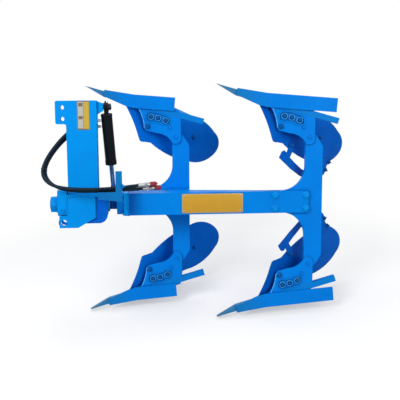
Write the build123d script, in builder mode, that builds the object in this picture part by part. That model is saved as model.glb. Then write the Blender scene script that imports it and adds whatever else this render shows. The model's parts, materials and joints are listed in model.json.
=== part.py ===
"""Two-furrow mounted reversible mouldboard plough, an assembly of separate pieces.

Millimetres. The pieces are drawn in the plough's upright frame: +X rearwards, +Y to its right, +Z
up, with the origin in the middle of the cross shaft's bore. The rotor turns over about an axis
along X, axis_z above it, and side_plane, cross_plane and plan_plane count heights from that axis.
The bodies are drawn once in a body frame: u rearwards from the leg's rear edge, v from the
landside's outer face towards the furrow, and height from the turnover axis.
The plough has no stand: it parks leaning on its two lower bar points and the wings of its two
lower shares. finish_piece turns each piece about the origin into that pose.
"""
from build123d import *
from math import atan2, cos, degrees, hypot, pi, radians, sin, tan
import os

os.makedirs("parts", exist_ok=True)

# ---------------------------------------------------------------- driving dimensions
# Turnover axis and headstock
axis_z = 100.0              # turnover axis above the cross shaft bore
cross_bore_r = 18.0         # cross shaft
hitch_half_width = 68.0     # outer faces of the hitch plates
hitch_plate_t = 12.0
hitch_front_x = -25.0
hitch_rear_x = 182.0
hitch_bottom = -130.0
hitch_slope_x = 82.0        # the lower edge rises from here
hitch_rear_bottom = -73.0
hitch_top = 48.0
cheek_t = 8.0
cheek_front_x = 120.0
cheek_rear_x = 251.0
cheek_bottom = -107.0
cheek_corner_r = 50.0
cap_plate_t = 12.0          # plate that carries the mast
bearing_plate_t = 45.0      # thick block at the front of the headstock
bearing_plate_proud = 8.0   # stands this far ahead of the hitch plates
bearing_corner_r = 16.0
bearing_plate_top = 86.0
bearing_plate_bottom = -60.0
tube_r = 47.0               # bearing tube, outside
tube_overhang = 12.0        # behind the cheeks

# Mast
mast_gap = 55.0             # between the two mast plates, for the tractor's top link
mast_plate_t = 12.0
mast_front_x = 27.0
mast_rear_x = 200.0
mast_top = 593.0
ear_front_x = -33.0         # ear with the two top link holes
ear_bottom = 461.0
ear_corner_r = 12.0
ear_hole_x = 5.0
ear_hole_r = 13.0
ear_hole_low = 490.0
ear_hole_high = 555.0

# Bracket that keeps the hoses clear of the rotor
guide_front_x = 207.0
guide_rear_x = 340.0
guide_post = 36.0
guide_top = 204.0
guide_arm_top = 87.0
guide_arm_rear = 34.0       # lower edge of the arm, below the post
guide_outer_y = -190.0
guide_t = 12.0

# Turnover shaft
shaft_r = 34.0
shaft_clearance = 0.1
nut_across_flats = 85.0
nut_t = 34.0
washer_t = 8.0
washer_r = 50.0
washer_gap = 0.5            # running gap between the washer and the block

# Rotor head: crank disc and flange, bolted to the beam
hub_front_x = 304.0
hub_r = 65.0
flange_front_x = 345.0
flange_t = 26.0
flange_side = 134.0
flange_corner_r = 10.0
crank_front_x = 308.0      # leaves room for the rod eye, which comes nearer as the rod runs out
crank_t = 20.0
crank_pin_y = 90.0
crank_pin_z = 70.0
crank_eye_r = 24.0

# Turnover cylinder: the top pin stands on the mast, the rod's eye at the crank pin
cylinder_pin_x = 251.0
cylinder_pin_z = 555.0
rod_eye_x = 282.0
barrel_r = 32.0
barrel_top_gap = 42.0       # from the top pin to the barrel's upper end
barrel_length = 296.0
barrel_neck = 40.0
rod_r = 13.5
eye_width = 24.0
eye_r = 24.0
rod_eye_r = 20.0
pin_r = 12.5
pin_clearance = 0.3
pin_root = 18.0             # the top pin starts inside its bracket
pin_end = 20.0              # and stands out behind the barrel's eye
bracket_rear_x = 236.0
bracket_half = 22.0         # half the width and half the rear height of the pin's bracket
bracket_top = 589.0
bracket_bottom = 512.0
gland_t = 12.0              # head of the barrel above the rod's bore
rod_inside = 190.0          # length of rod inside the barrel at rest

# Beam
beam_front_x = 371.0
beam_half_height = 64.0
beam_near_y = -65.0
beam_wall = 10.0
beam_rear_x = 1417.0
beam_far_y = 60.0
beam_taper_start_x = 745.0
beam_taper_end_x = 1180.0
clamp_plate_t = 12.0
carrier_margin = 40.0       # the front leg's carrier reaches this far ahead of the leg
carrier_wall = 12.0

# Legs and bodies
body_pitch = 760.0
front_leg_rear_x = 739.0
front_land_y = 150.0
body_stagger = -220.0       # step of the rear bodies across the beam
land_t = 11.0
land_height = 80.0
land_rise = 33.0            # rise of the sole along 400 mm
bar_tip_u = -617.0
bar_tip_h = -681.0          # the share and the landside's toe keep their heights above the tip
land_toe = (-501.0, bar_tip_h + 25.0)
land_joint = (-329.0, bar_tip_h + 54.0)
frog_t = 10.0
frog_pocket = 6.0           # depth of the recess round the bolts
pocket_rim = 6.0            # raised rim round the recess
frog_web_u = -70.0          # web that carries the mouldboard's wing side
frog_web_t = 12.0
leg_t = 28.0
leg_width = 102.0
leg_web_r = 140.0
leg_foot_rear_u = -48.0      # the foot's rear edge steps in below the mouldboard's back
leg_step_h = (-322.0, -396.0)
leg_root_reach = 146.0      # the leg's root is this much wider than the leg

# Mouldboard: ruled between an arc at the shin and an arc at the wing
board_t = 8.0
board_width = 400.0         # between the two guiding arcs
shin_crest_u = -244.0       # rearmost point of the shin's arc, level with the turnover axis
shin_radius = 1188.0
wing_crest_u = 218.0        # rearmost point of the wing's arc
wing_centre_h = -334.0
wing_radius = 302.0
shin_angles = (-33.5, -4.0)
wing_angles = (-84.0, 52.0)

# Share and bar point
share_t = 12.0
share_nose = (-505.0, 0.0, bar_tip_h + 64.0)
share_shoulder = (-375.0, 0.0, bar_tip_h + 123.0)
share_wing = (-215.0, 325.0, bar_tip_h + 81.0)
share_heel_uv = (130.0, 317.0)      # corner of the blank, before its rear edge is cut to the board
board_heel = (26.0, bar_tip_h + 183.0)      # mouldboard's lower rear corner
bar_tail_u = 91.0
bar_tail_h = -480.0
bar_size = 34.0
bar_taper = 112.0           # length of the bar's chiselled nose
bar_overrun = 40.0          # the channel's cut runs this far past both ends of the bar
fit_gap = 0.3

# Hoses: points of each centre line, as x, y and height above the turnover axis
HOSE_ROUTES = {
    "hose_near": ((176, -13, 470), (104, -13, 460), (26, -13, 408), (-44, -13, 334), (-98, -24, 256),
                  (-117, -56, 190), (-90, -96, 142), (-30, -127, 115), (60, -146, 104), (160, -152, 101),
                  (255, -150, 103), (333, -142, 108), (400, -122, 113), (441, -106, 115)),
    "hose_far": ((176, 13, 440), (104, 13, 430), (22, 13, 384), (-45, 10, 314), (-92, -6, 242),
                 (-103, -40, 184), (-74, -76, 135), (-10, -106, 101), (76, -126, 90), (168, -131, 88),
                 (258, -130, 90), (338, -124, 93), (405, -102, 92), (465, -80, 93)),
}
hose_r = 9.5
port_r = 11.0
port_heights = (480.0, 445.0)       # rear unions towards the cylinder, near side and far side
union_r = 7.0
union_length = 20.0                 # stops short of the barrel, which swings past
coupler_r = 12.0
ferrule_length = 42.0
hex_length = 18.0
dust_cap_r = 14.0
dust_cap_length = 44.0

# ---------------------------------------------------------------- derived places
shin_centre_u = shin_crest_u - shin_radius
shin_centre_h = 0.0
wing_centre_u = wing_crest_u - wing_radius
bar_slope = atan2(bar_tail_h - bar_tip_h, bar_tail_u - bar_tip_u)
bar_lift = bar_size / cos(bar_slope)        # the bar's height measured upright
bar_v = land_t + fit_gap
leg_v = land_t + frog_t
leg_front_u = -leg_width
mast_half_gap = mast_gap / 2
bearing_plate_rear_x = hitch_front_x + bearing_plate_t
cheek_outer_y = hitch_half_width - hitch_plate_t


def side_plane(y):
    """Upright plane across the beam at y: local x rearwards, local y up from the turnover axis."""
    return Plane(origin=(0, y, axis_z), x_dir=(1, 0, 0), z_dir=(0, -1, 0))


def cross_plane(x):
    """Plane square to the turnover axis at x: local x to the right, local y up."""
    return Plane(origin=(x, 0, axis_z), x_dir=(0, 1, 0), z_dir=(1, 0, 0))


def plan_plane(height):
    """Level plane at a height above the turnover axis."""
    return Plane.XY.offset(axis_z + height)


def body_plane(v):
    """Upright plane in the body frame: local x = u, local y = height from the turnover axis."""
    return Plane(origin=(0, v, 0), x_dir=(1, 0, 0), z_dir=(0, -1, 0))


def bar_height(u, above=0.0):
    """Height of the bar's lower face at u, or of a line that runs above it."""
    return bar_tip_h + (u - bar_tip_u) * tan(bar_slope) + above


# The ground plane runs through both lower bar points' inner corners and the front share's wing.
ground_points = (
    Vector(front_leg_rear_x + bar_tip_u, front_land_y + bar_v + bar_size, bar_tip_h),
    Vector(front_leg_rear_x + body_pitch + bar_tip_u,
           front_land_y + body_stagger + bar_v + bar_size, bar_tip_h),
    Vector(front_leg_rear_x + share_wing[0], front_land_y + share_wing[1], share_wing[2]),
)
ground_up = (ground_points[1] - ground_points[0]).cross(ground_points[2] - ground_points[0])
ground = Plane(origin=(0, 0, 0), x_dir=(1, 0, -ground_up.X / ground_up.Z), z_dir=ground_up)
park = ground.location.inverse()


def finish_piece(builder, name):
    """Lean a finished piece into the parked pose, label it and write it to its own file."""
    with BuildPart() as parked:
        with Locations(park):
            add(builder.part)
    parked.part.label = name
    export_step(parked.part, f"parts/{name}.step")


# ---------------------------------------------------------------- headstock
def hitch_plate(outer_y, inner_y):
    """Side plate of the headstock with the cross shaft's hole."""
    thickness = abs(outer_y - inner_y)
    with BuildPart() as plate:
        with BuildSketch(side_plane(min(outer_y, inner_y))):
            with BuildLine():
                Polyline(
                    (hitch_front_x, bearing_plate_bottom),
                    (hitch_front_x, hitch_bottom),
                    (hitch_slope_x, hitch_bottom),
                    (hitch_rear_x, hitch_rear_bottom),
                    (hitch_rear_x, hitch_top),
                    (bearing_plate_rear_x, hitch_top),
                    (bearing_plate_rear_x, bearing_plate_bottom),
                    close=True,
                )
            make_face()
            with Locations((0, -axis_z)):
                Circle(cross_bore_r, mode=Mode.SUBTRACT)
        extrude(amount=-thickness)
    return plate


def cheek_plate(outer_y, inner_y):
    """Inner cheek behind the hitch plate, with its rounded rear foot."""
    with BuildPart() as cheek:
        with BuildSketch(side_plane(min(outer_y, inner_y))):
            with BuildLine():
                Polyline(
                    (cheek_front_x, hitch_top),
                    (cheek_front_x, cheek_bottom),
                    (cheek_rear_x, cheek_bottom),
                    (cheek_rear_x, hitch_top),
                    close=True,
                )
            make_face()
        extrude(amount=-abs(outer_y - inner_y))
        rear_foot = cheek.edges().filter_by(Axis.Y).group_by(Axis.X)[-1].sort_by(Axis.Z)[0]
        fillet(rear_foot, cheek_corner_r)
    return cheek


for side_name, side in (("left", -1), ("right", 1)):
    hitch_faces = side * hitch_half_width, side * cheek_outer_y
    cheek_faces = side * cheek_outer_y, side * (cheek_outer_y - cheek_t)
    finish_piece(hitch_plate(*hitch_faces), f"hitch_plate_{side_name}")
    finish_piece(cheek_plate(*cheek_faces), f"cheek_plate_{side_name}")

with BuildPart() as bearing_plate:
    with BuildSketch(cross_plane(hitch_front_x - bearing_plate_proud)):
        with Locations((0, (bearing_plate_top + bearing_plate_bottom) / 2)):
            RectangleRounded(2 * hitch_half_width, bearing_plate_top - bearing_plate_bottom, bearing_corner_r)
        Circle(shaft_r + shaft_clearance, mode=Mode.SUBTRACT)
    extrude(amount=bearing_plate_t + bearing_plate_proud)
finish_piece(bearing_plate, "bearing_plate")

with BuildPart() as bearing_tube:
    with BuildSketch(cross_plane(bearing_plate_rear_x)):
        Circle(tube_r)
        Circle(shaft_r + shaft_clearance, mode=Mode.SUBTRACT)
    extrude(amount=cheek_rear_x + tube_overhang - bearing_plate_rear_x)
finish_piece(bearing_tube, "bearing_tube")

with BuildPart() as cap_plate:
    with BuildSketch(plan_plane(hitch_top)):
        with Locations(((bearing_plate_rear_x + cheek_rear_x) / 2, 0)):
            Rectangle(cheek_rear_x - bearing_plate_rear_x, 2 * hitch_half_width)
    extrude(amount=cap_plate_t)
finish_piece(cap_plate, "cap_plate")

# ---------------------------------------------------------------- mast
mast_foot = hitch_top + cap_plate_t


def mast_plate(near_y):
    """Mast side plate with the forward ear that takes the top link."""
    with BuildPart() as plate:
        with BuildSketch(side_plane(near_y)):
            with BuildLine():
                Polyline(
                    (mast_front_x, mast_foot),
                    (mast_rear_x, mast_foot),
                    (mast_rear_x, mast_top),
                    (ear_front_x, mast_top),
                    (ear_front_x, ear_bottom),
                    (mast_front_x, ear_bottom),
                    close=True,
                )
            make_face()
            with Locations((ear_hole_x, ear_hole_low), (ear_hole_x, ear_hole_high)):
                Circle(ear_hole_r, mode=Mode.SUBTRACT)
        extrude(amount=-mast_plate_t)
        corners = plate.edges().filter_by(Axis.Y).filter_by(GeomType.LINE)
        fillet(corners.filter_by_position(Axis.Z, axis_z + ear_bottom - 1, axis_z + mast_top + 1)
               .filter_by_position(Axis.X, ear_front_x - 1, mast_front_x + 1), ear_corner_r)
    return plate


finish_piece(mast_plate(-mast_half_gap - mast_plate_t), "mast_plate_left")
finish_piece(mast_plate(mast_half_gap), "mast_plate_right")

with BuildPart() as mast_web:
    with BuildSketch(cross_plane(mast_rear_x - mast_plate_t)):
        with Locations((0, (mast_foot + mast_top) / 2)):
            Rectangle(mast_gap, mast_top - mast_foot)
    extrude(amount=mast_plate_t)
    for route in HOSE_ROUTES.values():
        start, onward = (Vector(x, y, axis_z + height) for x, y, height in route[:2])
        with BuildSketch(Plane(origin=start, z_dir=start - onward)):
            Circle(port_r)
        extrude(amount=mast_rear_x - mast_plate_t / 2 - start.X)
    for route, port_height in zip(HOSE_ROUTES.values(), port_heights):
        with BuildSketch(cross_plane(mast_rear_x)):
            with Locations((route[0][1], port_height)):
                Circle(union_r)
        extrude(amount=union_length)
finish_piece(mast_web, "mast_web")

with BuildPart() as guide_bracket:
    with BuildSketch(side_plane(guide_outer_y)):
        with BuildLine():
            Polyline(
                (guide_front_x, hitch_top),
                (guide_rear_x, guide_arm_rear),
                (guide_rear_x, guide_top),
                (guide_rear_x - guide_post, guide_top),
                (guide_rear_x - guide_post, guide_arm_top),
                (guide_front_x, guide_arm_top),
                close=True,
            )
        make_face()
    extrude(amount=-guide_t)
    with BuildSketch(plan_plane(hitch_top)):
        with Locations(((guide_front_x + cheek_rear_x) / 2, (guide_outer_y - hitch_half_width) / 2)):
            Rectangle(cheek_rear_x - guide_front_x, -hitch_half_width - guide_outer_y)
    extrude(amount=cap_plate_t)
finish_piece(guide_bracket, "guide_bracket")

# ---------------------------------------------------------------- turnover cylinder
cylinder_pin = Vector(cylinder_pin_x, 0, axis_z + cylinder_pin_z)
rod_eye = Vector(rod_eye_x, crank_pin_y, axis_z + crank_pin_z)
# The whole cylinder leans in the XZ plane; its swing axis is square to that lean.
lean = atan2(rod_eye_x - cylinder_pin_x, cylinder_pin_z - crank_pin_z)
swing_axis = Vector(cos(lean), 0, sin(lean))
cylinder_dir = (rod_eye - cylinder_pin).normalized()
cylinder_length = (rod_eye - cylinder_pin).length
print("swing axis", swing_axis, "cylinder direction", cylinder_dir, "length", round(cylinder_length, 1))


def along_cylinder(distance):
    """Plane square to the cylinder at a distance below its top pin."""
    return Plane(origin=cylinder_pin + cylinder_dir * distance, x_dir=swing_axis, z_dir=cylinder_dir)


def across_pin(centre, offset):
    """Plane square to the pins' axis, offset along it from a pin's centre."""
    return Plane(origin=centre + swing_axis * offset, x_dir=cylinder_dir, z_dir=swing_axis)


with BuildPart() as cylinder_bracket:
    with BuildSketch(side_plane(-bracket_half)):
        with BuildLine():
            Polyline(
                (mast_rear_x, bracket_top),
                (bracket_rear_x, cylinder_pin_z + bracket_half),
                (bracket_rear_x, cylinder_pin_z - bracket_half),
                (mast_rear_x, bracket_bottom),
                close=True,
            )
        make_face()
    extrude(amount=-2 * bracket_half)
    with BuildSketch(across_pin(cylinder_pin, -pin_root)):
        Circle(pin_r)
    extrude(amount=pin_root + eye_width / 2 + pin_end)
finish_piece(cylinder_bracket, "cylinder_bracket")

with BuildPart() as cylinder_barrel:
    with BuildSketch(along_cylinder(barrel_top_gap)):
        Circle(barrel_r)
    extrude(amount=barrel_length)
    with BuildSketch(along_cylinder(0)):
        Rectangle(eye_width, barrel_neck)
    extrude(amount=barrel_top_gap)
    with BuildSketch(across_pin(cylinder_pin, -eye_width / 2)):
        Circle(eye_r)
    extrude(amount=eye_width)
    with BuildSketch(across_pin(cylinder_pin, -eye_width / 2)):
        Circle(pin_r + pin_clearance)
    extrude(amount=eye_width, mode=Mode.SUBTRACT)
    with BuildSketch(along_cylinder(barrel_top_gap + gland_t)):
        Circle(rod_r + pin_clearance)
    extrude(amount=barrel_length, mode=Mode.SUBTRACT)
finish_piece(cylinder_barrel, "cylinder_barrel")

rod_top = barrel_top_gap + barrel_length - rod_inside
with BuildPart() as cylinder_rod:
    with BuildSketch(along_cylinder(rod_top)):
        Circle(rod_r)
    extrude(amount=cylinder_length - rod_top)
    with BuildSketch(across_pin(rod_eye, -eye_width / 2)):
        Circle(rod_eye_r)
    extrude(amount=eye_width)
    with BuildSketch(across_pin(rod_eye, -eye_width / 2)):
        Circle(pin_r)
    extrude(amount=eye_width, mode=Mode.SUBTRACT)
finish_piece(cylinder_rod, "cylinder_rod")

# ---------------------------------------------------------------- rotor head
crank_reach = hypot(crank_pin_y, crank_pin_z)
crank_angle = degrees(atan2(crank_pin_z, crank_pin_y))
washer_x = hitch_front_x - bearing_plate_proud - washer_gap
shaft_front_x = washer_x - washer_t - nut_t
with BuildPart() as turnover_shaft:
    with BuildSketch(cross_plane(shaft_front_x)):
        Circle(shaft_r)
    extrude(amount=hub_front_x - shaft_front_x)
finish_piece(turnover_shaft, "turnover_shaft")

with BuildPart() as shaft_nut:
    with BuildSketch(cross_plane(washer_x)):
        Circle(washer_r)
    extrude(amount=-washer_t)
    with BuildSketch(cross_plane(washer_x - washer_t)):
        RegularPolygon(nut_across_flats / 2, 6, major_radius=False)
    extrude(amount=-nut_t)
    with BuildSketch(cross_plane(washer_x)):
        Circle(shaft_r)
    extrude(amount=shaft_front_x - washer_x, mode=Mode.SUBTRACT)
finish_piece(shaft_nut, "shaft_nut")

with BuildPart() as rotor_hub:
    with BuildSketch(cross_plane(hub_front_x)):
        Circle(hub_r)
    extrude(amount=flange_front_x - hub_front_x)
    with BuildSketch(cross_plane(crank_front_x)):
        with Locations((crank_pin_y, crank_pin_z)):
            Circle(crank_eye_r)
        with Locations(Rotation(0, 0, crank_angle)):
            with Locations((crank_reach / 2, 0)):
                Rectangle(crank_reach, 2 * crank_eye_r)
    extrude(amount=crank_t)
finish_piece(rotor_hub, "rotor_hub")

with BuildPart() as rotor_flange:
    with BuildSketch(cross_plane(flange_front_x)):
        RectangleRounded(flange_side, flange_side, flange_corner_r)
    extrude(amount=flange_t)
finish_piece(rotor_flange, "rotor_flange")

# ---------------------------------------------------------------- beam
leg_near_y = front_land_y + body_stagger + leg_v
leg_far_y = leg_near_y + leg_t
with BuildPart() as main_beam:
    with BuildSketch(plan_plane(-beam_half_height)):
        with BuildLine():
            Polyline(
                (beam_front_x, beam_near_y),
                (beam_rear_x, beam_near_y),
                (beam_rear_x, leg_near_y),
                (beam_taper_end_x, leg_near_y),
                (beam_taper_end_x, leg_far_y),
                (beam_rear_x, leg_far_y),
                (beam_rear_x, leg_far_y + clamp_plate_t),
                (beam_taper_end_x, leg_far_y + clamp_plate_t),
                (beam_taper_start_x, beam_far_y),
                (beam_front_x, beam_far_y),
                close=True,
            )
        make_face()
    extrude(amount=2 * beam_half_height)
    with BuildSketch(plan_plane(-beam_half_height + beam_wall)):
        with BuildLine():
            Polyline(
                (beam_front_x, leg_near_y),
                (beam_taper_end_x - beam_wall, leg_near_y),
                (beam_taper_end_x - beam_wall, leg_far_y),
                (beam_taper_start_x, beam_far_y - beam_wall),
                (beam_front_x, beam_far_y - beam_wall),
                close=True,
            )
        make_face()
    extrude(amount=2 * (beam_half_height - beam_wall), mode=Mode.SUBTRACT)
finish_piece(main_beam, "main_beam")

carrier_front_x = front_leg_rear_x - leg_width - carrier_margin
carrier_length = front_leg_rear_x - carrier_front_x
carrier_height = 2 * (beam_half_height - beam_wall / 2)
with BuildPart() as leg_carrier:
    with BuildSketch(side_plane(beam_far_y)):
        with Locations(((carrier_front_x + front_leg_rear_x) / 2, 0)):
            RectangleRounded(carrier_length, carrier_height, carrier_wall)
            RectangleRounded(carrier_length - 2 * carrier_wall, carrier_height - 2 * carrier_wall,
                             carrier_wall / 2, mode=Mode.SUBTRACT)
    extrude(amount=-(front_land_y + leg_v - beam_far_y))
finish_piece(leg_carrier, "leg_carrier")

# ---------------------------------------------------------------- legs
leg_foot_drop = bar_lift + frog_t + fit_gap     # the leg's foot stands on the bar's channel


def leg_plate():
    """Double leg, one plate for the upper and the lower body, drawn in the body frame."""
    root_u = leg_front_u - leg_root_reach
    foot_front = bar_height(leg_front_u, leg_foot_drop)
    foot_rear = bar_height(leg_foot_rear_u, leg_foot_drop)
    web_h = -beam_half_height - leg_web_r
    with BuildPart() as leg:
        with BuildSketch(body_plane(leg_v)):
            with BuildLine():
                Polyline(
                    (root_u, -beam_half_height),
                    (leg_front_u - leg_web_r, -beam_half_height),
                )
                RadiusArc((leg_front_u - leg_web_r, -beam_half_height), (leg_front_u, web_h), leg_web_r)
                Polyline(
                    (leg_front_u, web_h),
                    (leg_front_u, foot_front),
                    (leg_foot_rear_u, foot_rear),
                    (leg_foot_rear_u, leg_step_h[1]),
                    (0, leg_step_h[0]),
                    (0, 0),
                    (root_u, 0),
                    (root_u, -beam_half_height),
                )
            make_face()
            mirror(about=Plane.XZ)
        extrude(amount=-leg_t)
    return leg


# ---------------------------------------------------------------- one body, drawn below the beam
def arc_strip(v, centre_u, centre_h, radius, angles, behind=0.0):
    """Section of the mouldboard: a strip of even thickness between two concentric arcs."""
    start, end = angles
    with BuildSketch(body_plane(v)) as strip:
        with BuildLine():
            inner = CenterArc((centre_u, centre_h), radius + behind, start, end - start)
            outer = CenterArc((centre_u, centre_h), radius + behind + board_t, start, end - start)
            Line(inner @ 0, outer @ 0)
            Line(inner @ 1, outer @ 1)
        make_face()
    return strip.sketch


def ruled_sheet(behind=0.0):
    """Curved sheet ruled from the shin's arc to the wing's arc, or a sheet that lies behind it."""
    shin = arc_strip(0, shin_centre_u, shin_centre_h, shin_radius, shin_angles, behind)
    wing = arc_strip(board_width, wing_centre_u, wing_centre_h, wing_radius, wing_angles, behind)
    return loft([shin.face(), wing.face()], ruled=True)


def ahead_of_board(behind):
    """Everything ahead of the mouldboard's front (behind=0) or back, to trim what seats against it."""
    ahead_u = 1.5 * bar_tip_u

    def region(v, centre_u, centre_h, radius, angles):
        start, end = angles
        with BuildSketch(body_plane(v)) as area:
            with BuildLine():
                back = CenterArc((centre_u, centre_h), radius + behind, start, end - start)
                Polyline(back @ 0, (ahead_u, (back @ 0).Y), (ahead_u, (back @ 1).Y), back @ 1)
            make_face()
        return area.sketch

    shin = region(0, shin_centre_u, shin_centre_h, shin_radius, shin_angles)
    wing = region(board_width, wing_centre_u, wing_centre_h, wing_radius, wing_angles)
    with BuildPart() as ahead:
        loft([shin.face(), wing.face()], ruled=True)
    return ahead.part


share_plane = Plane(
    origin=share_nose,
    x_dir=Vector(*share_shoulder) - Vector(*share_nose),
    z_dir=(Vector(*share_shoulder) - Vector(*share_nose)).cross(Vector(*share_wing) - Vector(*share_nose)),
)


def on_share(u, v):
    """Point of the share's upper face above (u, v)."""
    normal = share_plane.z_dir
    origin = share_plane.origin
    height = origin.Z - (normal.X * (u - origin.X) + normal.Y * (v - origin.Y)) / normal.Z
    return Vector(u, v, height)


def share_xy(point):
    """The same point in the share plane's own coordinates."""
    local = share_plane.to_local_coords(Vector(*point))
    return (local.X, local.Y)


def bar_profile(clearance=0.0):
    """Side outline of the bar's straight run, widened by a clearance."""
    drop = clearance / cos(bar_slope)
    front_u = bar_tip_u - bar_overrun
    rear_u = bar_tail_u + bar_overrun
    return (
        (front_u, bar_height(front_u, -drop)),
        (rear_u, bar_height(rear_u, -drop)),
        (rear_u, bar_height(rear_u, bar_lift + drop)),
        (front_u, bar_height(front_u, bar_lift + drop)),
    )


def bar_channel():
    """The room that the bar needs, with its clearance, open towards the landside."""
    with BuildPart() as channel:
        with BuildSketch(body_plane(land_t)):
            with BuildLine():
                Polyline(*bar_profile(fit_gap), close=True)
            make_face()
        extrude(amount=-(bar_size + 2 * fit_gap))
    return channel.part


def landside_room():
    """The slab that the landside, its toe and the bar's outer wall take up."""
    with BuildPart() as room:
        with BuildSketch(body_plane(-share_t)):
            with Locations(((bar_tip_u + bar_tail_u) / 2, share_nose[2])):
                Rectangle(2 * (bar_tail_u - bar_tip_u), board_width)
        extrude(amount=-(share_t + bar_v + bar_size + fit_gap))
    return room.part


def bar_point():
    """Square bar, chiselled at the nose, that slides in the frog's channel."""
    nose_u = bar_tip_u + bar_taper
    foot = (bar_size * sin(bar_slope), bar_size * cos(bar_slope))
    with BuildPart() as bar:
        with BuildSketch(body_plane(bar_v)):
            with BuildLine():
                Polyline(
                    (bar_tip_u, bar_tip_h),
                    (bar_tail_u, bar_tail_h),
                    (bar_tail_u - foot[0], bar_tail_h + foot[1]),
                    (nose_u, bar_height(nose_u, bar_lift)),
                    close=True,
                )
            make_face()
        extrude(amount=-bar_size)
    return bar


def landside(length):
    """Landside with its toe; the sole runs nose-down and the heel is cut square."""
    slope = atan2(land_rise, 400)
    heel = Vector(*land_joint) + Vector(cos(slope), sin(slope)) * length
    heel_top = heel + Vector(-sin(slope), cos(slope)) * land_height
    with BuildPart() as plate:
        with BuildSketch(body_plane(0)):
            with BuildLine():
                Polyline(
                    (share_nose[0], share_nose[2]),
                    land_toe,
                    land_joint,
                    (heel.X, heel.Y),
                    (heel_top.X, heel_top.Y),
                    (land_joint[0], land_joint[1] + land_height / cos(slope)),
                    (share_shoulder[0], share_shoulder[2]),
                    close=True,
                )
            make_face()
        extrude(amount=-land_t)
        add(board.part, mode=Mode.SUBTRACT)
    return plate


def share():
    """Share blade, cut back along the bar; its rear edge follows the mouldboard's curved face."""
    with BuildPart() as blade:
        with BuildSketch(share_plane):
            with BuildLine():
                Polyline(
                    share_xy(share_nose),
                    share_xy(share_wing),
                    share_xy(on_share(*share_heel_uv)),
                    share_xy(share_shoulder),
                    close=True,
                )
            make_face()
        extrude(amount=-share_t)
        add(ahead_of_board(0), mode=Mode.INTERSECT)
        add(bar_channel(), mode=Mode.SUBTRACT)
        add(landside_room(), mode=Mode.SUBTRACT)
        add(board.part, mode=Mode.SUBTRACT)
    return blade


def mouldboard():
    """Ruled sheet trimmed to the board's outline."""
    sheet = ruled_sheet()
    with BuildPart() as board:
        add(sheet)
        with BuildSketch(body_plane(-2)):
            with BuildLine():
                ThreePointArc((share_shoulder[0], share_shoulder[2]), (-330, -457), (-306, -378))
                ThreePointArc((-306, -378), (-297, -354), (-272, -346))
                Line((-272, -346), (-232, -338))
                ThreePointArc((-232, -338), (-112, -252), (10, -207))
                ThreePointArc((10, -207), (118, -202), (196, -250))
                ThreePointArc((196, -250), (222, -315), (190, -385))
                ThreePointArc((190, -385), (115, -459), board_heel)
                Line(board_heel, (share_shoulder[0], share_shoulder[2]))
            make_face()
        extrude(amount=-(board_width + 40), mode=Mode.INTERSECT)
        add(bar_channel(), mode=Mode.SUBTRACT)
    return board


def pocket_outline(grow=0.0):
    """Recess round the nuts of the share's and the mouldboard's bolts, or its rim's outer edge."""
    with BuildSketch() as recess:
        with BuildLine():
            Polyline((-254, -474), (-254, -508), (-236, -521), (-202, -518), (-162, -506), (-130, -494),
                     (-116, -474), (-118, -450), (-148, -446), (-172, -458), (-204, -468), (-228, -462),
                     close=True)
        make_face()
        fillet(recess.vertices(), 5)
        if grow:
            offset(amount=grow)
    return recess.sketch


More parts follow.
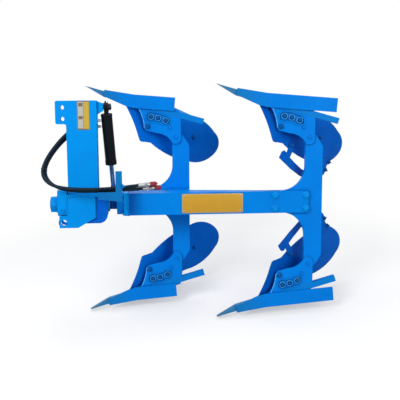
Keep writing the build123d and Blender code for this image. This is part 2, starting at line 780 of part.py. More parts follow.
def frog():
    """Frog: side plate on the leg, open channel for the bar, share seat and web to the mouldboard."""
    inner_v = bar_v + bar_size + fit_gap
    wall_top = bar_lift + fit_gap + frog_t
    frog_rear_u = leg_foot_rear_u - 2
    tongue_top = -332.0
    tongue_front_u = leg_front_u + 4
    web_v = leg_v + leg_t + fit_gap
    web_u = frog_web_u + frog_web_t
    share_seat_uv = ((-400, 50), (-310, 50), (-210, 150), (-290, 150))
    with BuildPart() as casting:
        with BuildSketch(body_plane(land_t)):
            with BuildLine():
                Line((frog_rear_u, bar_height(frog_rear_u)), (frog_rear_u, tongue_top - 36))
                ThreePointArc((frog_rear_u, tongue_top - 36), (frog_rear_u - 8, tongue_top - 10),
                              (frog_rear_u - 26, tongue_top))
                Line((frog_rear_u - 26, tongue_top), (tongue_front_u, tongue_top))
                # the plate flares from the leg's front edge into its upper edge
                ThreePointArc((tongue_front_u, tongue_top), (-130, -372), (-196, -397))
                Line((-196, -397), (-246, -410))
                ThreePointArc((-246, -410), (-262, -417), (-267, -434))
                ThreePointArc((-267, -434), (-279, -492), (-313, -549))
                Polyline((-313, -549), (-400, bar_tip_h + 81), (-400, bar_tip_h + 53), (-90, bar_tip_h + 84),
                         (-90, bar_height(-90)), (frog_rear_u, bar_height(frog_rear_u)))
            make_face()
        extrude(amount=-frog_t)
        with BuildSketch(body_plane(land_t)):
            with BuildLine():
                Polyline(
                    (-360, bar_height(-360, wall_top)),
                    (-360, bar_height(-360, -fit_gap - frog_t)),
                    (-60, bar_height(-60, -fit_gap - frog_t)),
                    (frog_rear_u, bar_height(frog_rear_u, wall_top)),
                    close=True,
                )
            make_face()
        extrude(amount=-(inner_v + frog_t - land_t))
        # web from the channel's inner wall out to the back of the mouldboard
        with BuildSketch(Plane(origin=(web_u, 0, 0), x_dir=(0, 1, 0), z_dir=(1, 0, 0))):
            with BuildLine():
                Polyline((web_v, -380), (board_width / 2, -380), (board_width / 2, -450),
                         (inner_v + frog_t, -500), (inner_v, -500), (inner_v, -485),
                         (web_v, -485), close=True)
            make_face()
        extrude(amount=-frog_web_t)
        # recess and its rim, on the land side
        with BuildSketch(body_plane(land_t)):
            add(pocket_outline(pocket_rim))
        extrude(amount=pocket_rim / 2)
        with BuildSketch(body_plane(land_t - pocket_rim / 2)):
            add(pocket_outline())
        extrude(amount=-(pocket_rim / 2 + frog_pocket), mode=Mode.SUBTRACT)
        add(ahead_of_board(board_t), mode=Mode.SUBTRACT)
        # seat under the share blade
        with BuildSketch(share_plane.offset(-share_t)):
            with BuildLine():
                Polyline(*[share_xy(on_share(u, v)) for u, v in share_seat_uv], close=True)
            make_face()
        extrude(amount=-frog_t)
        add(board.part, mode=Mode.SUBTRACT)
        add(blade.part, mode=Mode.SUBTRACT)
        add(bar_channel(), mode=Mode.SUBTRACT)
    return casting


def trash_board():
    """Curved strap above the mouldboard's edge, on two arms bolted behind it."""
    sheet = ruled_sheet(board_t + fit_gap)
    with BuildPart() as strap:
        add(sheet)
        with BuildSketch(body_plane(-2)):
            with BuildLine():
                Polyline((-261, -258), (-241, -291), (-222, -298), (-206, -284), (-194, -312), (-180, -338),
                         (-148, -330), (-165, -285), (-184, -254), (-150, -221), (-98, -178), (-40, -154),
                         (44, -148), (66, -236), (126, -218), (99, -168), (96, -130), (72, -106),
                         (-50, -108), (-112, -139), (-180, -186), (-244, -243), close=True)
            make_face()
        extrude(amount=-board_width, mode=Mode.INTERSECT)
    return strap


def placed(piece, leg_x, land_y, above=False):
    """Carry a piece from the body frame to its leg; the upper row mirrors the lower one."""
    with BuildPart() as moved:
        with Locations((leg_x, land_y, axis_z)):
            add(piece.part)
        if above:
            mirror(about=Plane.XY.offset(axis_z), mode=Mode.REPLACE)
    return moved


leg = leg_plate()
board = mouldboard()
long_landside = landside(407)
short_landside = landside(247)
blade = share()
body_pieces = {"frog": frog(), "share": blade, "bar_point": bar_point(), "mouldboard": board}
strap = trash_board()

# columns: row name, leg's rear edge, landside's outer face, landside, carries a trash board
rows = (
    ("front", front_leg_rear_x, front_land_y, short_landside, False),
    ("rear", front_leg_rear_x + body_pitch, front_land_y + body_stagger, long_landside, True),
)
for row_name, leg_x, land_y, land_plate, has_strap in rows:
    finish_piece(placed(leg, leg_x, land_y), f"leg_{row_name}")
    for level, above in (("lower", False), ("upper", True)):
        for piece_name, piece in body_pieces.items():
            finish_piece(placed(piece, leg_x, land_y, above), f"{piece_name}_{row_name}_{level}")
        finish_piece(placed(land_plate, leg_x, land_y, above), f"landside_{row_name}_{level}")
        if has_strap:
            finish_piece(placed(strap, leg_x, land_y, above), f"trash_board_{row_name}_{level}")

# ---------------------------------------------------------------- hoses
for hose_name, route in HOSE_ROUTES.items():
    points = [Vector(x, y, axis_z + height) for x, y, height in route]
    radii = []
    for before, corner, after in zip(points, points[1:], points[2:]):
        turn = (corner - before).get_angle(after - corner)
        shorter = min((corner - before).length, (after - corner).length)
        radii.append(0.45 * shorter / tan(radians(turn / 2)))
    with BuildPart() as hose:
        with BuildLine() as centre_line:
            FilletPolyline(*points, radius=radii)
        with BuildSketch(Plane(origin=points[0], z_dir=points[1] - points[0])):
            Circle(hose_r)
        sweep()
    tube_volume = centre_line.wire().length * pi * hose_r ** 2
    print(hose_name, "radii", [round(radius) for radius in radii])
    print("length", round(centre_line.wire().length))
    print("volume ratio", round(hose.part.volume / tube_volume, 4))
    finish_piece(hose, hose_name)

    # crimped ferrule, quick coupler and red dust cap on the hose's end
    tip = points[-1]
    run = (points[-1] - points[-2]).normalized()
    with BuildPart() as coupler:
        with BuildSketch(Plane(origin=tip, z_dir=run)):
            Circle(coupler_r)
        extrude(amount=ferrule_length)
        with BuildSketch(Plane(origin=tip + run * ferrule_length, z_dir=run)):
            RegularPolygon(coupler_r + 0.5, 6)
        extrude(amount=hex_length)
    finish_piece(coupler, hose_name.replace("hose", "coupler"))
    with BuildPart() as cap:
        with BuildSketch(Plane(origin=tip + run * (ferrule_length + hex_length), z_dir=run)):
            Circle(dust_cap_r)
        extrude(amount=dust_cap_length)
    finish_piece(cap, hose_name.replace("hose", "dust_cap"))
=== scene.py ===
"""Looks of the two-furrow reversible plough: camera, light, finishes, hoses and small parts.

The plough leans as it parks. Small parts are placed in its upright frame, in millimetres: x rearwards
from the cross shaft's bore, y to the plough's right, and height above the turnover axis. PLOUGH
carries them into the leaning row frame, in metres. Materials state their sizes in metres.
"""
import json
import math

import bmesh
import bpy
from mathutils import Matrix, Vector, noise


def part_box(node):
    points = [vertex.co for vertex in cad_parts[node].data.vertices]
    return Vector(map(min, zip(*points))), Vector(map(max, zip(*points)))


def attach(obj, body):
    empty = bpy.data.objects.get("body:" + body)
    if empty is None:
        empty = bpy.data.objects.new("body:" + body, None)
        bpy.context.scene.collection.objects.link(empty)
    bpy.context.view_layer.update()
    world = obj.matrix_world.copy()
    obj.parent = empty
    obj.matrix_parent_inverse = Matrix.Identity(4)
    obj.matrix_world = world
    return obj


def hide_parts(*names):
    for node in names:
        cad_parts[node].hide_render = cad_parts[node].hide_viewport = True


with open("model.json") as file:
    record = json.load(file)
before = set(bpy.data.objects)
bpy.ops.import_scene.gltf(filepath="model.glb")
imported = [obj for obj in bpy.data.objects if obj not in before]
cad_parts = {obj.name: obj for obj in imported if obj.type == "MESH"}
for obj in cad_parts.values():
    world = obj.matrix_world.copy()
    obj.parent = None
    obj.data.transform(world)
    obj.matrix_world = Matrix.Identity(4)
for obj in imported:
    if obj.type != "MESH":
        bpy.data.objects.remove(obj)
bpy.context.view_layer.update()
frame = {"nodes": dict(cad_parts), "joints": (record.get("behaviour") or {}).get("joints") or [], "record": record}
nodes = frame["nodes"]

# ------------------------------------------------------------------ the plough's upright frame
AXIS_MM = 100.0                 # turnover axis above the cross shaft's bore
turnover = next(j for j in frame["joints"] if j["name"] == "turnover")
bore = next(m for m in frame["record"]["mounts"] if m["name"] == "cross_shaft_bore")
rearwards = Vector(turnover["axis"]).normalized()
to_right = -Vector(bore["axis"]).normalized()
LEAN = Matrix((rearwards, to_right, rearwards.cross(to_right))).transposed().to_4x4()
PLOUGH = LEAN @ Matrix.Scale(0.001, 4) @ Matrix.Translation((0, 0, AXIS_MM))

FORWARDS, REARWARDS = (-1, 0, 0), (1, 0, 0)
LEFT, RIGHT, UP = (0, -1, 0), (0, 1, 0), (0, 0, 1)


def at(x, y, height):
    """A point of the upright frame, in metres in the row frame."""
    return PLOUGH @ Vector((x, y, height))


# ------------------------------------------------------------------ camera
CAMERA_AT = (442, -4050, 570)
CAMERA_AIM = Vector((0.05577, 0.98833, -0.14177))
CAMERA_LEVEL = Vector((0.99841, -0.05634, 0.0))     # level, and square to the aim
CAMERA_TILT = 0.0089            # slope of the picture's horizontal

view_dir = CAMERA_AIM.normalized()
view_right = CAMERA_LEVEL.normalized()
view_right = (view_right - CAMERA_TILT * view_right.cross(view_dir)).normalized()
view_up = view_right.cross(view_dir).normalized()

camera_data = bpy.data.cameras.new("camera")
camera_data.lens = 63.0
camera_data.sensor_width = 36.0
camera_data.shift_x = 0.05
camera_data.shift_y = 0.01
camera = bpy.data.objects.new("camera", camera_data)
bpy.context.scene.collection.objects.link(camera)
turned = Matrix((view_right, view_up, -view_dir)).transposed().to_4x4()
camera.matrix_world = Matrix.Translation(at(*CAMERA_AT)) @ LEAN @ turned
bpy.context.scene.camera = camera

# ------------------------------------------------------------------ hoses, with their centre lines
HOSES = {
    "near": ((176, -13, 470), (104, -13, 460), (26, -13, 408), (-44, -13, 334), (-98, -24, 256),
             (-117, -56, 190), (-90, -96, 142), (-30, -127, 115), (60, -146, 104), (160, -152, 101),
             (255, -150, 103), (333, -142, 108), (400, -122, 113), (441, -106, 115)),
    "far": ((176, 13, 440), (104, 13, 430), (22, 13, 384), (-45, 10, 314), (-92, -6, 242),
            (-103, -40, 184), (-74, -76, 135), (-10, -106, 101), (76, -126, 90), (168, -131, 88),
            (258, -130, 90), (338, -124, 93), (405, -102, 92), (465, -80, 93)),
}
HOSE_R = 9.5


# ------------------------------------------------------------------ nodes of the finishes
def new_material(name):
    """New material, with its node tree and its Principled shader."""
    material = bpy.data.materials.new(name)
    material.use_nodes = True
    tree = material.node_tree
    shader = tree.nodes["Principled BSDF"]
    return material, tree, shader


def add_node(tree, kind, **settings):
    """New node in a tree, with some of its properties set."""
    node = tree.nodes.new(kind)
    for key, value in settings.items():
        setattr(node, key, value)
    return node


def map_range(tree, value, start, end, to_start=0.0, to_end=1.0, curve="LINEAR"):
    """Stretches start..end to to_start..to_end, and holds what lies outside at its ends."""
    node = add_node(tree, "ShaderNodeMapRange", clamp=True, interpolation_type=curve)
    node.inputs["From Min"].default_value = start
    node.inputs["From Max"].default_value = end
    node.inputs["To Min"].default_value = to_start
    node.inputs["To Max"].default_value = to_end
    tree.links.new(value, node.inputs["Value"])
    return node.outputs["Result"]


def combine(tree, operation, a, b):
    """Joins two sockets, or a socket and a number, by a step of arithmetic."""
    node = add_node(tree, "ShaderNodeMath", operation=operation)
    for socket, value in zip(node.inputs, (a, b)):
        if isinstance(value, (int, float)):
            socket.default_value = value
        else:
            tree.links.new(value, socket)
    return node.outputs[0]


def multiply(tree, a, b):
    """Product of two sockets, or of a socket and a number."""
    return combine(tree, "MULTIPLY", a, b)


def noise_factor(tree, scale, low, high, detail=4.0):
    """Noise in object space, stretched so that low..high becomes 0..1."""
    coords = add_node(tree, "ShaderNodeTexCoord")
    texture = add_node(tree, "ShaderNodeTexNoise")
    texture.inputs["Scale"].default_value = scale
    texture.inputs["Detail"].default_value = detail
    texture.inputs["Roughness"].default_value = 0.55
    tree.links.new(coords.outputs["Object"], texture.inputs["Vector"])
    return map_range(tree, texture.outputs["Fac"], low, high)


def rounded_normal(tree, radius):
    """Normal that looks rounded over edges, to a radius in metres."""
    bevel = add_node(tree, "ShaderNodeBevel", samples=4)
    bevel.inputs["Radius"].default_value = radius
    return bevel.outputs["Normal"]


def edge_factor(tree, width, low, high):
    """1 on convex and concave edges, 0 on flats."""
    normal = rounded_normal(tree, width)
    geometry = add_node(tree, "ShaderNodeNewGeometry")
    dot = add_node(tree, "ShaderNodeVectorMath", operation="DOT_PRODUCT")
    tree.links.new(normal, dot.inputs[0])
    tree.links.new(geometry.outputs["Normal"], dot.inputs[1])
    return map_range(tree, dot.outputs["Value"], high, low)


def crevice_shade_factor(tree, reach):
    """1 in seams and tight corners, from ambient occlusion: where the enamel gets painted shade."""
    shade = add_node(tree, "ShaderNodeAmbientOcclusion", samples=6)
    shade.inputs["Distance"].default_value = reach
    return map_range(tree, shade.outputs["AO"], 0.95, 0.4)


def from_front_end(tree, share, power=1.0):
    """1 at the front end of a piece, fading to 0 at a share of its length."""
    coords = add_node(tree, "ShaderNodeTexCoord")
    parts = add_node(tree, "ShaderNodeSeparateXYZ")
    tree.links.new(coords.outputs["Generated"], parts.inputs[0])
    return combine(tree, "POWER", map_range(tree, parts.outputs["X"], share, 0.0), power)


def blend_colour(tree, factor, first, second):
    """Mixes two colours by a factor, each of them a socket or a plain value."""
    mix = add_node(tree, "ShaderNodeMix", data_type="RGBA")
    for socket, value in ((mix.inputs["Factor"], factor), (mix.inputs[6], first), (mix.inputs[7], second)):
        if isinstance(value, bpy.types.NodeSocket):
            tree.links.new(value, socket)
        elif isinstance(value, (int, float)):
            socket.default_value = value
        else:
            socket.default_value = (*value, 1.0)
    return mix.outputs[2]


def surface_normal(tree, shader, bumps, round_edge):
    """Chain of bumps, (height socket, distance in metres, strength), over softly rounded edges."""
    normal = rounded_normal(tree, round_edge)
    for height, distance, strength in bumps:
        bump = add_node(tree, "ShaderNodeBump")
        bump.inputs["Distance"].default_value = distance
        bump.inputs["Strength"].default_value = strength
        tree.links.new(height, bump.inputs["Height"])
        tree.links.new(normal, bump.inputs["Normal"])
        normal = bump.outputs["Normal"]
    tree.links.new(normal, shader.inputs["Normal"])


def varied_roughness(tree, shader, factor, low, high):
    """Roughness that runs from low to high as the factor runs from 0 to 1."""
    tree.links.new(map_range(tree, factor, 0.0, 1.0, low, high), shader.inputs["Roughness"])


# ------------------------------------------------------------------ finishes
def enamel(name, colour, deep, edge_tone, roughness=(0.3, 0.46), edge_amount=0.5, edge_width=0.0028, gloss=0.045,
           front_darkening=None):
    """Sprayed enamel: cloudy tone, orange peel, worn edges and dust in the seams.

    front_darkening is (share of the length, colour) of a darker tone over the piece's front end: painted shadow
    beside the flange on the beam, and a darker front third on the landsides.
    """
    material, tree, shader = new_material(name)
    cloud = noise_factor(tree, 7.0, 0.3, 0.72)
    grain = noise_factor(tree, 160.0, 0.35, 0.7)
    tone = blend_colour(tree, multiply(tree, cloud, 0.8), colour, deep)
    specks = noise_factor(tree, 420.0, 0.66, 0.74, detail=2.0)
    tone = blend_colour(tree, multiply(tree, specks, 0.35), tone, deep)
    # edges blend toward edge_tone, broken up by grain: on most enamels a lighter blue, a painted highlight; on the
    # boards a dark tone
    edges = multiply(tree, edge_factor(tree, edge_width, 0.9, 0.995), grain)
    tone = blend_colour(tree, multiply(tree, edges, edge_amount), tone, edge_tone)
    # painted shade: seams and tight corners darken toward a deep tone
    crevice_shade = tuple(0.3 * channel for channel in deep)
    tone = blend_colour(tree, multiply(tree, crevice_shade_factor(tree, 0.018), 0.55), tone, crevice_shade)
    # darker tone toward the front end: on the beam a painted shadow beside the flange
    if front_darkening:
        share, front_tone = front_darkening
        tone = blend_colour(tree, multiply(tree, from_front_end(tree, share), 0.95), tone, front_tone)
    tree.links.new(tone, shader.inputs["Base Color"])
    varied_roughness(tree, shader, cloud, *roughness)
    shader.inputs["Specular IOR Level"].default_value = gloss
    shader.inputs["Coat Weight"].default_value = 0.015
    shader.inputs["Coat Roughness"].default_value = 0.2
    peel = noise_factor(tree, 330.0, 0.2, 0.8, detail=1.0)
    ripple = noise_factor(tree, 28.0, 0.2, 0.8, detail=2.0)
    surface_normal(tree, shader, [(ripple, 0.002, 0.12), (peel, 0.0003, 0.35)], round_edge=0.0016)
    return material


def plain(name, colour, deep, roughness, metallic=0.0, scale=90.0, bump=0.2, specular=0.5, coat=0.0,
          edge=None):
    """A finish with fine variation of tone, roughness and relief, and rubbed edges if edge is a colour."""
    material, tree, shader = new_material(name)
    grain = noise_factor(tree, scale, 0.3, 0.7)
    fine = noise_factor(tree, scale * 6, 0.3, 0.75, detail=2.0)
    tone = blend_colour(tree, multiply(tree, grain, 0.75), colour, deep)
    if edge:
        edges = multiply(tree, edge_factor(tree, 0.0015, 0.9, 0.99), fine)
        tone = blend_colour(tree, multiply(tree, edges, 0.7), tone, edge)
    tree.links.new(tone, shader.inputs["Base Color"])
    varied_roughness(tree, shader, grain, *roughness)
    shader.inputs["Metallic"].default_value = metallic
    shader.inputs["Specular IOR Level"].default_value = specular
    shader.inputs["Coat Weight"].default_value = coat
    shader.inputs["Coat Roughness"].default_value = 0.15
    surface_normal(tree, shader, [(fine, 0.0004, bump)], round_edge=0.0008)
    return material


def worn_share(name):
    """Share steel: enamel that thins to bare, ground steel toward the cutting edges and tips."""
    material, tree, shader = new_material(name)
    cloud = noise_factor(tree, 9.0, 0.3, 0.7)
    grain = noise_factor(tree, 120.0, 0.3, 0.7)
    tone = blend_colour(tree, multiply(tree, cloud, 0.7), (0.0, 0.20, 0.62), (0.0, 0.16, 0.54))
    edges = multiply(tree, edge_factor(tree, 0.004, 0.85, 0.99), grain)
    tone = blend_colour(tree, multiply(tree, edges, 0.75), tone, (0.06, 0.19, 0.33))
    scuffed = multiply(tree, from_front_end(tree, 0.42, 0.8), noise_factor(tree, 40.0, 0.15, 0.6))
    tone = blend_colour(tree, scuffed, tone, (0.012, 0.165, 0.38))
    bare = multiply(tree, from_front_end(tree, 0.2, 0.7), noise_factor(tree, 70.0, 0.1, 0.55))
    tone = blend_colour(tree, bare, tone, (0.055, 0.175, 0.27))
    tree.links.new(tone, shader.inputs["Base Color"])
    varied_roughness(tree, shader, cloud, 0.28, 0.45)
    shader.inputs["Specular IOR Level"].default_value = 0.08
    fine = noise_factor(tree, 300.0, 0.3, 0.75, detail=2.0)
    surface_normal(tree, shader, [(fine, 0.0004, 0.3)], round_edge=0.0014)
    return material


# enamels: colour, cloudy deeper tone, and the tone of the edges (mostly a lighter blue: painted highlight)
blue = enamel("blue_enamel", (0.0, 0.268, 0.75), (0.0, 0.225, 0.68), (0.01, 0.35, 0.82))
# darker copy of the blue enamel: painted shade on the beam, with painted shadow over its front end
blue_beam_painted_shade = enamel("blue_enamel_beam_painted_shade", (0.0, 0.208, 0.69), (0.0, 0.175, 0.62), (0.01, 0.29, 0.78),
                   front_darkening=(0.085, (0.0, 0.065, 0.38)))
# lighter, glossier copy of the blue enamel: painted highlight on the frogs' front beads and nut collars
blue_painted_highlight = enamel("blue_enamel_painted_highlight", (0.05, 0.42, 0.94), (0.02, 0.34, 0.86), (0.12, 0.52, 0.95),
                     gloss=0.4)
# darker copy of the blue enamel: partly painted shadow of the hoses, partly the post's weathered paint
blue_guide_shade_and_weathering = enamel("blue_enamel_guide_shade_and_weathering", (0.005, 0.165, 0.46), (0.003, 0.115, 0.35), (0.02, 0.24, 0.58),
                    edge_amount=0.7)
# darker copy of the blue enamel: painted shadow of the hoses' guide on the hub
blue_hub_painted_shadow = enamel("blue_enamel_hub_painted_shadow", (0.0, 0.18, 0.64), (0.0, 0.145, 0.56), (0.01, 0.25, 0.70))
blue_nut = enamel("blue_enamel_nuts", (0.0, 0.115, 0.44), (0.0, 0.085, 0.36), (0.01, 0.27, 0.68),
                  gloss=0.08)
# darker copy of the blue enamel: painted shade on the legs, frogs and the welds and bolts that share it
blue_bodies_painted_shade = enamel("blue_enamel_bodies_painted_shade", (0.0, 0.207, 0.72), (0.0, 0.168, 0.64), (0.01, 0.29, 0.78),
                    edge_amount=0.6)
# darker copy of the blue enamel: painted shade on the landsides, darker again over their front third
blue_landside_painted_shade = enamel("blue_enamel_landsides_painted_shade", (0.0, 0.200, 0.70), (0.0, 0.165, 0.62),
                       (0.01, 0.28, 0.76), edge_amount=0.6, front_darkening=(0.34, (0.008, 0.165, 0.42)))
board_settings = dict(roughness=(0.36, 0.5), edge_amount=0.9, edge_width=0.005, gloss=0.03)
# darker copies of the blue enamel for the mouldboards and trash boards: painted shade on their backs, deeper on
# the rear row
blue_board_painted_shade = enamel("blue_enamel_boards_painted_shade", (0.0, 0.165, 0.70), (0.0, 0.125, 0.58), (0.0, 0.065, 0.19),
                    **board_settings)
blue_board_rear_painted_shade = enamel("blue_enamel_rear_boards_painted_shade", (0.0, 0.122, 0.57), (0.0, 0.088, 0.46),
                         (0.0, 0.055, 0.16), **board_settings)
# darker copy of the blue enamel: painted shade in the recessed cheek plates and the bore's bushes
blue_cheek_painted_shade = enamel("blue_enamel_cheeks_painted_shade", (0.0, 0.122, 0.60), (0.0, 0.098, 0.52), (0.01, 0.18, 0.64))
# very dark copy of the blue enamel: painted shade on the turnover shaft between the cheeks
blue_shaft_painted_shade = enamel("blue_enamel_shaft_painted_shade", (0.0, 0.055, 0.30), (0.0, 0.035, 0.20), (0.02, 0.13, 0.42))
share_blue = worn_share("share_enamel")

# other finishes: colour, deeper tone, and range of roughness
black = plain("black_enamel", (0.004, 0.0065, 0.009), (0.002, 0.0035, 0.005), (0.34, 0.5), coat=0.01,
              specular=0.07, edge=(0.02, 0.024, 0.028), bump=0.1)
black_steel = plain("black_hardware", (0.012, 0.012, 0.014), (0.004, 0.004, 0.005), (0.35, 0.6),
                    metallic=0.4, edge=(0.12, 0.12, 0.13))
rubber = plain("hose_cover", (0.003, 0.017, 0.034), (0.002, 0.009, 0.018), (0.36, 0.5), scale=220.0,
               bump=0.3, specular=0.1)
zinc = plain("zinc_plate", (0.37, 0.385, 0.38), (0.20, 0.215, 0.23), (0.28, 0.45), metallic=0.8,
             edge=(0.6, 0.6, 0.6))
# blue tint of the rod's chrome: painted reflection of the blue paint around it
chrome_painted_reflection = plain("hard_chrome_painted_reflection", (0.10, 0.22, 0.42), (0.06, 0.16, 0.34), (0.14, 0.24), metallic=0.9,
               bump=0.08)
cap_red = plain("red_caps", (0.29, 0.02, 0.036), (0.19, 0.012, 0.024), (0.38, 0.55), bump=0.25,
                specular=0.3)
plate_gold = plain("blank_plate", (0.53, 0.29, 0.026), (0.48, 0.26, 0.022), (0.34, 0.42), metallic=0.1,
                   scale=16.0, bump=0.015, specular=0.2)
plate_rim = plain("plate_rim", (0.50, 0.34, 0.13), (0.36, 0.25, 0.10), (0.35, 0.5), metallic=0.3)
label_yellow = plain("label_yellow", (0.52, 0.37, 0.05), (0.45, 0.31, 0.04), (0.42, 0.55), bump=0.05,
                     specular=0.2)
label_grey = plain("label_grey", (0.45, 0.45, 0.40), (0.38, 0.38, 0.34), (0.42, 0.55), bump=0.05,
                   specular=0.2)
label_brown = plain("label_brown", (0.17, 0.11, 0.055), (0.12, 0.08, 0.04), (0.42, 0.55), bump=0.05)

# the first entry whose start fits a piece's name; boards of the rear row get a deeper painted shade
FINISH = (
    ("turnover_shaft", blue_shaft_painted_shade), ("rotor_hub", blue_hub_painted_shadow), ("guide_bracket", blue_guide_shade_and_weathering),
    ("main_beam", blue_beam_painted_shade), ("cylinder_barrel", black), ("cylinder_rod", chrome_painted_reflection),
    ("hose_", rubber), ("coupler_", zinc), ("dust_cap_", cap_red), ("cheek_plate", blue_cheek_painted_shade),
    ("mouldboard_rear_", blue_board_rear_painted_shade), ("trash_board_rear_", blue_board_rear_painted_shade),
    ("mouldboard_", blue_board_painted_shade), ("share_", share_blue), ("bar_point_", share_blue),
    ("landside_", blue_landside_painted_shade), ("leg_", blue_bodies_painted_shade), ("frog_", blue_bodies_painted_shade), ("", blue),
)
for name, node in nodes.items():
    node.data.materials.clear()
    node.data.materials.append(next(finish for start, finish in FINISH if name.startswith(start)))


# ------------------------------------------------------------------ mesh helpers
def finish_mesh(name, bm, material, body):
    """Turns a bmesh drawn in the upright frame into an object that rides on a body."""
    bmesh.ops.remove_doubles(bm, verts=bm.verts, dist=0.001)
    bmesh.ops.recalc_face_normals(bm, faces=bm.faces)
    mesh = bpy.data.meshes.new(name)
    bm.to_mesh(mesh)
    bm.free()
    mesh.transform(PLOUGH)
    mesh.materials.append(material)
    for polygon in mesh.polygons:
        polygon.use_smooth = True
    mesh.set_sharp_from_angle(angle=math.radians(35))
    piece = bpy.data.objects.new(name, mesh)
    bpy.context.scene.collection.objects.link(piece)
    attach(piece, body)
    return piece


def ring_of(bm, centre, one, two, radius, sides, turn=0.0):
    """Vertices on a circle about a centre, in the plane of two square unit vectors."""
    ring = []
    for i in range(sides):
        angle = turn + 2 * math.pi * i / sides
        ring.append(bm.verts.new(centre + (one * math.cos(angle) + two * math.sin(angle)) * radius))
    return ring


def bridge(bm, lower, upper):
    """Faces between two rings with as many vertices each."""
    for i in range(len(lower)):
        j = (i + 1) % len(lower)
        bm.faces.new((lower[i], lower[j], upper[j], upper[i]))


def lathe(bm, origin, axis, profile, sides=28, turn=0.0):
    """Revolves (radius, distance) points about an axis; a radius of 0 closes the end."""
    axis = Vector(axis).normalized()
    one = axis.orthogonal().normalized()
    two = axis.cross(one)
    rings = []
    for radius, distance in profile:
        centre = Vector(origin) + axis * distance
        rings.append(ring_of(bm, centre, one, two, radius, sides, turn) if radius
                     else [bm.verts.new(centre)])
    for lower, upper in zip(rings, rings[1:]):
        if len(lower) == len(upper):
            bridge(bm, lower, upper)
            continue
        for i in range(sides):
            j = (i + 1) % sides
            if len(lower) == 1:
                bm.faces.new((lower[0], upper[j], upper[i]))
            else:
                bm.faces.new((lower[i], lower[j], upper[0]))


def hex_head(bm, origin, axis, flats, height, turn=0.3, washer=True):
    """Hexagon head or nut on a washer, with chamfered corners."""
    corner = flats / math.sqrt(3)
    washer_t = 2.4 if washer else 0.0
    if washer:
        lathe(bm, origin, axis, [(0, 0), (flats * 0.92, 0), (flats * 0.92, 1.8), (flats * 0.88, washer_t),
                                 (0, washer_t)])
    seat = Vector(origin) + Vector(axis).normalized() * washer_t
    lathe(bm, seat, axis, [(0, 0), (corner * 0.93, 0), (corner, height * 0.1), (corner, height * 0.84),
                           (corner * 0.88, height), (0, height)], sides=6, turn=turn)


def nut_and_end(bm, origin, axis, flats, height, turn=0.3):
    """Nut with the bolt's threaded end standing out of it."""
    hex_head(bm, origin, axis, flats, height, turn)
    radius = flats * 0.3
    reach = height + 2.4
    profile = [(0, height)]
    for i in range(4):
        profile += [(radius, reach + i * 1.6), (radius * 0.9, reach + i * 1.6 + 0.8)]
    profile += [(radius * 0.8, reach + 7), (0, reach + 7)]
    lathe(bm, origin, axis, profile, sides=20)


def weld_bead(bm, points, radius=3.6):
    """Rippled weld bead along straight runs."""
    points = [Vector(p) for p in points]
    travelled = 0.0
    for start, end in zip(points, points[1:]):
        length = (end - start).length
        direction = (end - start).normalized()
        one = direction.orthogonal().normalized()
        two = direction.cross(one)
        steps = max(2, int(length / 2.2))
        previous = None
        for i in range(steps + 1):
            where = start + direction * (length * i / steps)
            ripple = 1 + 0.13 * math.sin((travelled + length * i / steps) * 1.35)
            wander = 1 + 0.22 * noise.noise(where * 0.045)
            end_taper = 0.6 if i in (0, steps) else 1.0
            ring = ring_of(bm, where, one, two, radius * ripple * wander * end_taper, 8)
            if previous:
                for k in range(8):
                    j = (k + 1) % 8
                    bm.faces.new((previous[k], previous[j], ring[j], ring[k]))
            else:
                bm.faces.new(list(reversed(ring)))
            previous = ring
        bm.faces.new(previous)
        travelled += length


def slab(bm, corners, across, thickness, bevel=0.0):
    """Flat plate: an outline, thickened along a direction, with its edges eased."""
    offset = Vector(across).normalized() * thickness
    low = [bm.verts.new(Vector(c)) for c in corners]
    high = [bm.verts.new(Vector(c) + offset) for c in corners]
    faces = [bm.faces.new(low), bm.faces.new(list(reversed(high)))]
    for i in range(len(corners)):
        j = (i + 1) % len(corners)
        faces.append(bm.faces.new((low[j], low[i], high[i], high[j])))
    if bevel:
        edges = list({e for f in faces for e in f.edges})
        bmesh.ops.bevel(bm, geom=edges, offset=bevel, segments=2, affect="EDGES", profile=0.6)


# ------------------------------------------------------------------ dimensions shared with the frame
BLOCK_REAR = 20.0               # thick block at the front of the headstock
HITCH_Y, HITCH_REAR = 68.0, 182.0       # outer face and rear edge of the hitch plates
CHEEK_Y, CHEEK_REAR = 56.0, 251.0       # outer face and rear edge of the cheek plates
CAP_TOP, CAP_LOW = 60.0, 48.0           # faces of the plate that carries the mast
MAST_Y, MAST_INNER_Y = 39.5, 27.5       # outer and inner faces of the mast's plates
MAST_FRONT, MAST_REAR, MAST_TOP = 27.0, 200.0, 593.0
BRACKET_HALF, BRACKET_LOW, BRACKET_TOP = 22.0, 512.0, 589.0     # the top pin's, on the mast's rear
GUIDE_FRONT, GUIDE_REAR = 207.0, 340.0
GUIDE_Y, GUIDE_T = -190.0, 12.0         # outer face and thickness of the hoses' guide
SHAFT_FRONT, SHAFT_R = -75.5, 34
HUB_R = 65.0
FLANGE_FRONT, FLANGE_REAR, FLANGE_BOLT = 345.0, 371.0, 54
BEAM_Y, BEAM_RIGHT, BEAM_HALF = -65.0, 60.0, 64.0       # left and right faces, and half of its height
CARRIER_FRONT, CARRIER_REAR, CARRIER_HALF = 597.0, 739.0, 59.0  # box that carries the front leg
CLAMP_Y = -9.0                  # right face of the rear leg's clamp plate
LEG_X = {"front": 739.0, "rear": 1499.0}        # rear edge of each leg
LAND_Y = {"front": 150.0, "rear": -70.0}        # outer face of each row's landsides
LEG_WIDTH = 102.0
FROG_V, LEG_V = 11.0, 21.0      # near faces of frog and leg, from the landside's face
BOARD_WIDTH = 400.0
BOARD_T, STRAP_T = 8.0, 16.3    # to the back of the mouldboard, and of the trash board's arm

